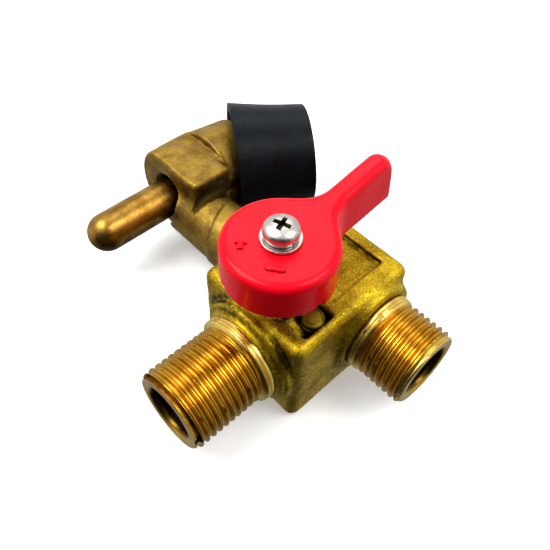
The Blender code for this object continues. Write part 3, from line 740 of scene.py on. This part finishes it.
def make_threaded_ends():
    make_threaded_end("port_a_thread", at(0, 0, AXIS_Z, ALONG_MINUS_Y), -8.3, 9.4, -PORT_A_END,
                      COLLAR_A_R, seed=3)
    make_threaded_end("port_b_thread", at(0, PORT_B_Y, AXIS_Z, ALONG_X), -11.9, 15.6, PORT_B_END,
                      COLLAR_B_R, seed=8)


def make_probe_liner():
    """The machined wall of the cross hole, with its lead-in."""
    outer = PROBE_R + 1.6
    mesh = lathe("probe_hole_liner", [
        (PROBE_R + 0.9, REAR_END - 0.05), (PROBE_R + 0.9, HEAD_FRONT + 1.0),
        (outer, HEAD_FRONT + 0.4), (outer, HEAD_FRONT - 0.04, 0.05),
        (PROBE_R + 0.9, HEAD_FRONT - 0.04, 0.2), (PROBE_R, HEAD_FRONT + 1.1, 0.2),
        (PROBE_R, REAR_END - 0.05)], at(PLUG_X, 0, AXIS_Z, ALONG_Y), ring=True)
    new_object("probe_hole_liner", mesh, CAST, "valve_body", "cast_brass", "body_casting")


# ---------------------------------------------------------------- handle
def handle_field(x, y, z):
    """The lever before it is set askew: its arm runs along +Y."""
    web, hub_r, wall, edge = 3.0, 5.6, 2.0, 2.2
    height = ramp(y, 12.0, ARM_TIP)
    top = HANDLE_TOP + 1.3 * height
    foot = SKIRT_BOTTOM - 0.8 * ramp(y + 0.25 * x, 1.0, 3.0)
    draft = (HANDLE_TOP - z) / (HANDLE_TOP - SKIRT_BOTTOM)
    half = 2.7 + 0.9 * draft
    tip_r, nose_r, heel_r = 2.9, 5.6, 2.2
    tip = np.hypot(np.maximum(abs(x) - half + tip_r, 0), np.maximum(y - ARM_TIP + tip_r, 0)) - tip_r
    arm = np.maximum(np.maximum(tip, abs(x) - half), 4.0 - y)
    plan = either(np.hypot(x, y) - SKIRT_R, arm, 7.0)
    over = np.hypot(np.maximum(y - ARM_TIP + nose_r, 0), np.maximum(z - top + nose_r, 0)) - nose_r
    under = np.hypot(np.maximum(y - ARM_TIP + heel_r, 0), np.maximum(foot - z + heel_r, 0)) - heel_r
    rounding = edge + 1.2 * ramp(y, ARM_TIP - 5, ARM_TIP - 1)
    shape = both(both(plan, over, rounding), under, 0.7)
    around = np.hypot(x, y)
    hollow = np.maximum(np.maximum(around - SKIRT_R + wall, hub_r - around), z - HANDLE_TOP + web)
    shape = without(shape, hollow, 0.5)
    square_half = 2.6
    stem_hole = np.maximum(np.maximum(abs(x), abs(y)) - square_half, z - HANDLE_TOP + 1.0)
    shape = without(without(shape, stem_hole), around - 2.2)
    for degrees, half_width in ((-5.0, 1.1), (-111.0, 0.7)):
        a = math.radians(degrees)
        off, out = -x * math.sin(a) + y * math.cos(a), x * math.cos(a) + y * math.sin(a)
        notch = np.maximum(np.maximum(abs(off) - half_width, 9.0 - out), z - SKIRT_BOTTOM - 0.9)
        shape = without(shape, notch, 0.3)
    return shape


def raised_mark(name, outline, low, high, place):
    """A raised shape on the handle with sloping sides, from a flat outline."""
    middle = sum((Vector(p) for p in outline), Vector((0, 0))) / len(outline)
    inner = [middle + (Vector(p) - middle) * 0.88 for p in outline]
    count = len(outline)
    points = [place @ Vector((*p, low)) for p in outline]
    points += [place @ Vector((*(middle + (Vector(p) - middle) * 0.96), high - 0.08))
               for p in outline]
    points += [place @ Vector((*p, high)) for p in inner]
    faces = [tuple(range(2 * count, 3 * count)), tuple(reversed(range(count)))]
    for ring in (0, count):
        for i in range(count):
            j = (i + 1) % count
            faces.append((ring + i, ring + j, ring + j + count, ring + i + count))
    mesh = mesh_from(name, points, faces, smooth_angle=60)
    store(mesh, shade=[1.0] * count + [0.9] * count + [0.0] * count)
    new_object(name, mesh, RED, "handle_group", "red_paint")


def make_handle():
    low = (-SKIRT_R - 1, -SKIRT_R - 1, SKIRT_BOTTOM - 1)
    high = (SKIRT_R + 1, ARM_TIP + 1, HANDLE_TOP + 2.5)
    mesh = field_mesh("lever", handle_field, low, high, 0.24,
                      lambda p: noise.noise(p / 6.0) * 0.05)
    mesh.transform(Matrix.Rotation(HANDLE_SET, 4, "Z"))
    new_object("lever", mesh, RED, "handle_group", "red_paint", "handle")

    arrow = [(0, 1.6), (-1.3, 0.2), (-0.65, 0.2), (-0.65, -1.4), (0.65, -1.4), (0.65, 0.2),
             (1.3, 0.2)]
    arrow_place = at(-4.35, -7.05, 0, Matrix.Rotation(math.radians(43), 4, "Z"))
    raised_mark("turn_arrow", arrow[::-1], HANDLE_TOP - 0.3, HANDLE_TOP + 0.45, arrow_place)
    bar_half, bar_r = 1.45, 0.75
    bar = []
    for end in (1, -1):
        for i in range(9):
            a = math.pi * (i / 8 - 0.5)
            bar.append((end * (bar_half + bar_r * math.cos(a)), end * bar_r * math.sin(a)))
    bar_place = at(4.9, -6.2, 0, Matrix.Rotation(math.radians(36), 4, "Z"))
    raised_mark("position_bar", bar, HANDLE_TOP - 0.3, HANDLE_TOP + 0.45, bar_place)


# ---------------------------------------------------------------- handle's fastening and stem
def mark_recess(mesh):
    """Stores which points lie well inside the screw head's rim, for the painted shade in its cross.
    """
    store(mesh, recess=[float(math.hypot(v.co.x, v.co.y) < 2.5 * MM) for v in mesh.vertices])


def make_screw():
    top, low = SCREW[1].z, SPRING_WASHER[1].z + 0.15
    head_r = SCREW[1].x
    mesh = lathe("cross_screw", [
        (0, top), (0.45 * head_r, top - 0.10), (0.78 * head_r, top - 0.50, 0.6),
        (head_r, low + 1.3, 0.9), (head_r, low, 0.15), (1.6, low, 0.1),
        (1.6, SCREW[0].z + 0.5), (1.2, SCREW[0].z), (0, SCREW[0].z)], Matrix.Identity(4))
    screw = new_object("cross_screw", mesh, ZINC, "handle_group", "zinc_steel", "handle_screw")
    dice = random.Random(5)
    depth, flare = 1.7, 0.6
    for degrees in (20, 110):
        corners = []
        for z, grow in ((top - depth, flare), (top + 0.5, 1.0)):
            for sx, sy in ((-1, -1), (1, -1), (1, 1), (-1, 1)):
                corners.append((sx * 2.15 * grow + dice.uniform(-0.12, 0.12),
                                sy * 0.55 * (0.7 + 0.3 * grow) + dice.uniform(-0.08, 0.08), z))
        turn = Matrix.Rotation(math.radians(degrees), 4, "Z")
        cut_from(screw, block_mesh("cross_arm", corners, turn))
    screw.data.set_sharp_from_angle(angle=math.radians(38))
    mark_recess(screw.data)


def washer(name, node, bore_r):
    low, high = cad_box(node)
    outer, edge = high.x, 0.16
    return lathe(name, [(bore_r, high.z, edge), (outer, high.z, edge), (outer, low.z, edge),
                        (bore_r, low.z, edge)], Matrix.Identity(4), ring=True)


def make_washers():
    flat = washer("plain_washer", "flat_washer", 2.2)
    new_object("plain_washer", flat, ZINC, "handle_group", "zinc_steel", "flat_washer")
    split = washer("split_washer", "spring_washer", 2.2)
    split = new_object("split_washer", split, ZINC, "handle_group", "zinc_steel", "spring_washer")
    middle = (SPRING_WASHER[0].z + SPRING_WASHER[1].z) / 2
    corners = [(x, y, z) for z in (-1.5, 1.5)
               for x, y in ((1, -0.2), (6, -0.2), (6, 0.2), (1, 0.2))]
    slant = at(0, 0, middle) @ Matrix.Rotation(math.radians(20), 4, "X")
    cut_from(split, block_mesh("split", corners, slant))


def make_stem_and_gland():
    r = 3.3
    groove_r, collar_r = r - 1.1, 4.3
    steps = [(r, 15.2), (groove_r, 15.1), (groove_r, 13.5), (r, 13.4), (r, 12.6), (groove_r, 12.5),
             (groove_r, 10.9), (r, 10.8), (r, 9.2), (collar_r, 9.1), (collar_r, 8.3), (r, 8.3),
             (r, 6.2), (0, 6.2)]
    profile = [(0, SKIRT_BOTTOM - 0.3), (r, SKIRT_BOTTOM - 0.3, 0.25)]
    profile += [(radius, AXIS_Z + height) for radius, height in steps]
    mesh = lathe("stem_shaft", profile, Matrix.Identity(4))
    new_object("stem_shaft", mesh, STEEL, "handle_group", "zinc_steel", "stem")
    half = 2.3
    corners = [(x, y, z) for z in (SKIRT_BOTTOM - 0.6, STEM[1].z)
               for x, y in ((-half, -half), (half, -half), (half, half), (-half, half))]
    mesh = block_mesh("stem_square", corners)
    bevel(new_object("stem_square", mesh, STEEL, "handle_group", "zinc_steel"), 0.3)

    sides = 6
    flat_to_flat = 10.0
    radius = flat_to_flat / 2 / math.cos(math.pi / sides)
    low, high = AXIS_Z + 15.8, GLAND[1].z
    shape = bmesh.new()
    bmesh.ops.create_cone(shape, cap_ends=True, segments=sides, radius1=radius * MM,
                          radius2=radius * MM, depth=(high - low) * MM)
    bmesh.ops.translate(shape, verts=shape.verts, vec=(0, 0, (high + low) / 2 * MM))
    mesh = bpy.data.meshes.new("gland_hexagon")
    shape.to_mesh(mesh)
    shape.free()
    nut = new_object("gland_hexagon", mesh, MACHINED, "valve_body", "machined_brass", "gland_nut")
    bore_r = 3.6
    bore = [(0, high + 1), (bore_r, high + 1), (bore_r, low - 1), (0, low - 1)]
    cut_from(nut, lathe("gland_bore", bore, Matrix.Identity(4)))
    bevel(nut, 0.35)


def bevel(obj, width, segments=3):
    modifier = obj.modifiers.new("edges", "BEVEL")
    modifier.width = width * MM
    modifier.segments = segments
    modifier.limit_method = "ANGLE"
    apply_modifiers(obj)
    obj.data.shade_smooth()
    obj.data.set_sharp_from_angle(angle=math.radians(40))


def make_post():
    """The stub in the pocket, with curled burrs on its worn top."""
    middle = (POST[0] + POST[1]) / 2
    head_r = (POST[1].x - POST[0].x) / 2
    top, shoulder = POST[1].z, AXIS_Z + 11.0
    profile = [(0, top - 0.05), (head_r * 0.6, top - 0.2, 0.6), (head_r * 0.92, top - 0.7, 0.5),
               (head_r, top - 1.1, 0.4), (head_r, shoulder), (0, shoulder)]
    mesh = lathe("pocket_post", profile, at(middle.x, middle.y, 0), sides=48)
    new_object("pocket_post", mesh, WORN, "valve_body", "machined_brass", "stop_pin")
    dice = random.Random(11)
    for index, start in enumerate((0.4, 2.1, 3.6)):
        turns, count = dice.uniform(0.5, 0.8), 22
        points = []
        for i in range(count):
            t = i / (count - 1)
            a = start + turns * 2 * math.pi * t
            r = head_r * (0.92 - 0.35 * t)
            points.append((middle.x + r * math.cos(a), middle.y + r * math.sin(a),
                           top - 0.1 + 1.2 * t - 0.5 * t * t))
        burr = wire(f"burr_{index}", points, 0.16, taper=lambda t: 1.0 - 0.75 * t)
        new_object(f"burr_{index}", burr, WORN, "valve_body", "machined_brass")


# ---------------------------------------------------------------- dust plug
def make_plug_pin():
    pin_r, nose = 5.45, PIN[0].y
    flange = (REAR_END + 1.6, REAR_END + 3.6)
    tail = PIN[1].y
    profile = [(0, tail), (4.8, tail, 0.3), (4.8, flange[1]), (8.5, flange[1], 0.3),
               (8.5, flange[0], 0.3), (pin_r, flange[0])]
    for y in (REAR_END - 5.5, HEAD_FRONT + 2.7):
        profile += [(pin_r, y + 1.2, 0.1), (3.9, y + 1.2), (3.9, y - 1.2), (pin_r, y - 1.2, 0.1)]
    steps = 20
    for i in range(steps + 1):
        a = math.pi / 2 * i / steps
        profile.append((pin_r * math.cos(a), nose + pin_r - pin_r * math.sin(a)))
    mesh = lathe("dust_plug_pin", profile, at(PLUG_X, 0, AXIS_Z, ALONG_Y))
    new_object("dust_plug_pin", mesh, BRONZE, "dust_plug", "bronze_pin", "plug_pin")


def make_boot():
    level = math.cos(BOOT_PITCH)
    axis = Vector((math.sin(BOOT_YAW) * level, math.cos(BOOT_YAW) * level, math.sin(BOOT_PITCH)))
    turn = axis.to_track_quat("Z", "Y").to_matrix().to_4x4()
    depth = BOOT_LENGTH - BOOT_BASE
    waist, rows = 0.35, 24
    profile = [(0, BOOT_LENGTH), (BOOT_R[1], BOOT_LENGTH, 1.0)]
    for i in range(1, rows):
        t = 1 - i / rows
        radius = BOOT_R[0] + (BOOT_R[1] - BOOT_R[0]) * t - waist * math.sin(math.pi * t)
        profile.append((radius, BOOT_LENGTH * t))
    slope = (BOOT_R[1] - BOOT_R[0]) / BOOT_LENGTH
    inner = BOOT_R[0] - BOOT_WALL
    profile += [(BOOT_R[0], 0, 0.35), (inner, 0, 0.5), (inner + slope * depth, depth, 1.0),
                (2.8, depth), (2.8, depth + 3.5), (0, depth + 3.5)]
    mesh = lathe("boot_shell", profile, Matrix.Translation(BOOT_MOUTH) @ turn, sides=128)
    new_object("boot_shell", mesh, RUBBER, "dust_plug", "black_rubber", "rubber_boot")


# ---------------------------------------------------------------- rings in the bores
def make_bore_rings():
    outer = BORE_R - 0.3
    place = at(0, 0, AXIS_Z, ALONG_MINUS_Y)
    near, far = -RETAINER[0].y, -RETAINER[1].y
    profile = [(3.4, near, 0.3), (outer, near, 0.2), (outer, near - 2.4), (4.65, near - 2.4),
               (4.65, far + 1.3), (outer, far + 1.3), (outer, far), (3.4, far)]
    ring = lathe("seat_ring_nut", profile, place, ring=True)
    ring = new_object("seat_ring_nut", ring, MACHINED, "valve_body", "machined_brass",
                      "seat_retainer")
    half, depth = 0.7, 1.3
    for side in (1, -1):
        left, right = side * 4.8 - 2.4, side * 4.8 + 2.4
        corners = [(x, y, z) for z in (near - depth, near + 1)
                   for x, y in ((left, -half), (right, -half), (right, half), (left, half))]
        cut_from(ring, block_mesh("spanner_slot", corners, place))
    low, high = SPRING_RING[0].x, SPRING_RING[1].x
    place = at(0, PORT_B_Y, AXIS_Z, ALONG_X)
    profile = [(1.6, high, 0.2), (outer, high, 0.25), (outer, low), (1.6, low)]
    guide = lathe("spring_ring", profile, place, ring=True)
    guide = new_object("spring_ring", guide, MACHINED, "valve_body", "machined_brass",
                       "spring_retainer")
    for index in range(4):
        a = math.pi / 4 + index * math.pi / 2
        profile = [(0, high + 2), (1.2, high + 2), (1.2, low - 2), (0, low - 2)]
        place = at(0, PORT_B_Y + 4.2 * math.cos(a), AXIS_Z + 4.2 * math.sin(a), ALONG_X)
        cut_from(guide, lathe("passage", profile, place, sides=32))


# ---------------------------------------------------------------- CAD nodes that stay
def finish_inner_nodes():
    finishes = (
        (ZINC, "ball"), (MACHINED, "check_poppet", "check_seat"), (BRONZE, "plug_stud"),
        (STEEL, "check_spring"), (PTFE, "ball_seat_inner", "ball_seat_outer", "thrust_washer"),
        (SEAL, "retainer_o_ring", "stem_o_ring_lower", "stem_o_ring_upper", "poppet_seal",
         "plug_o_ring_front", "plug_o_ring_rear", "plug_washer"))
    for finish, *names in finishes:
        for name in names:
            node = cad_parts[name]
            node.data.materials.clear()
            node.data.materials.append(finish)


# ---------------------------------------------------------------- floor, light and camera
CAMERA_AZIMUTH, CAMERA_ELEVATION, CAMERA_ROLL = (math.radians(a) for a in (43.564, 51.836, 3.667))
CAMERA_PLACE_M = Vector((0.05503, -0.05890, 0.14130))
CAMERA_LENS = 39.06


def towards(azimuth, elevation):
    """Unit vector from the object towards a direction round it; azimuth 0 is on the -Y side."""
    a, e = math.radians(azimuth), math.radians(elevation)
    return Vector((math.sin(a) * math.cos(e), -math.cos(a) * math.cos(e), math.sin(e)))


def make_camera():
    data = bpy.data.cameras.new("camera")
    data.lens, data.sensor_width = CAMERA_LENS, 36.0
    data.clip_start, data.clip_end = 0.005, 20.0
    camera = add_to_scene("camera", data)
    turn = (Matrix.Rotation(CAMERA_AZIMUTH, 4, "Z")
            @ Matrix.Rotation(math.pi / 2 - CAMERA_ELEVATION, 4, "X")
            @ Matrix.Rotation(CAMERA_ROLL, 4, "Z"))
    camera.matrix_world = Matrix.Translation(CAMERA_PLACE_M) @ turn
    bpy.context.scene.camera = camera


def make_floor():
    """A pale floor that touches the boot and the block's front edge, as the valve lies on it."""
    boot_low = min(v.co.z for v in bpy.data.objects["boot_shell"].data.vertices)
    front = (BLOCK_LOW[1] + 2.4) * MM
    boot_y = (BOOT_MOUTH.y + 4) * MM
    tilt = math.atan2(boot_low, boot_y - front)
    size = 3.0
    mesh = bpy.data.meshes.new("floor")
    shape = bmesh.new()
    bmesh.ops.create_grid(shape, x_segments=1, y_segments=1, size=size)
    shape.to_mesh(mesh)
    shape.free()
    floor = add_to_scene("floor", mesh)
    floor.matrix_world = Matrix.Translation((0, front, -0.0001)) @ Matrix.Rotation(tilt, 4, "X")
    f = Finish("floor_finish", Roughness=0.7, Emission_Color=(1, 1, 1, 1), Emission_Strength=0.28)
    f.set("Base Color", f.mix(f.noise(60.0, 2.0), (0.90, 0.90, 0.90), (0.93, 0.93, 0.93)))
    mesh.materials.append(f.material)
    floor.visible_diffuse = floor.visible_glossy = False


def make_world():
    world = bpy.data.worlds.new("studio")
    bpy.context.scene.world = world
    world.use_nodes = True
    tree = world.node_tree
    tree.nodes.clear()
    add, link = tree.nodes.new, tree.links.new
    place = add("ShaderNodeTexCoord").outputs["Generated"]
    split = add("ShaderNodeSeparateXYZ")
    link(place, split.inputs[0])
    lifted = add("ShaderNodeMapRange")
    link(split.outputs["Z"], lifted.inputs["Value"])
    lifted.inputs["From Min"].default_value = -1.0
    height = add("ShaderNodeValToRGB")
    link(lifted.outputs["Result"], height.inputs["Fac"])
    stops = height.color_ramp.elements
    stops[0].position, stops[1].position = 0.0, 1.0
    for position, value in ((0.0, 0.30), (0.25, 0.55), (0.50, 0.85), (0.60, 0.85), (1.0, 0.50)):
        ends = {0.0: stops[0], 1.0: stops[-1]}
        stop = ends[position] if position in ends else stops.new(position)
        stop.color = (value, value, value, 1.0)
    facing = add("ShaderNodeVectorMath")
    facing.operation = "DOT_PRODUCT"
    link(place, facing.inputs[0])
    facing.inputs[1].default_value = towards(43, -8)
    shade = add("ShaderNodeMapRange")
    shade.interpolation_type = "SMOOTHSTEP"
    link(facing.outputs["Value"], shade.inputs["Value"])
    for key, value in (("From Min", 0.25), ("From Max", 0.75), ("To Min", 1.0), ("To Max", 0.05)):
        shade.inputs[key].default_value = value
    level = add("ShaderNodeMath")
    level.operation = "MULTIPLY"
    link(height.outputs[0], level.inputs[0])
    link(shade.outputs[0], level.inputs[1])
    room = add("ShaderNodeBackground")
    link(level.outputs[0], room.inputs["Strength"])
    room.inputs["Color"].default_value = (0.97, 0.985, 1.0, 1.0)
    output = add("ShaderNodeOutputWorld")
    link(room.outputs[0], output.inputs["Surface"])


def make_lights():
    """Soft boxes over the left and the right side, and a weaker one that the flat tops mirror."""
    aim = Vector((-0.015, 0.010, 0.015))
    for name, azimuth, elevation, distance, size, power in (
            ("left_box", -45, 62, 0.55, 0.32, 2.0),
            ("right_box", 125, 55, 0.60, 0.30, 1.1),
            ("back_box", 222, 54, 0.60, 0.36, 0.65)):
        light = bpy.data.lights.new(name, "AREA")
        light.shape, light.size, light.energy = "SQUARE", size, power
        lamp = add_to_scene(name, light)
        direction = towards(azimuth, elevation)
        lamp.location = aim + direction * distance
        lamp.rotation_mode = "QUATERNION"
        lamp.rotation_quaternion = direction.to_track_quat("Z", "Y")


make_casting()
make_threaded_ends()
make_probe_liner()
make_handle()
make_screw()
make_washers()
make_stem_and_gland()
make_post()
make_plug_pin()
make_boot()
make_bore_rings()
finish_inner_nodes()
make_camera()
make_floor()
make_world()
make_lights()
view = bpy.context.scene.view_settings
view.view_transform, view.look = "Standard", "Medium High Contrast"
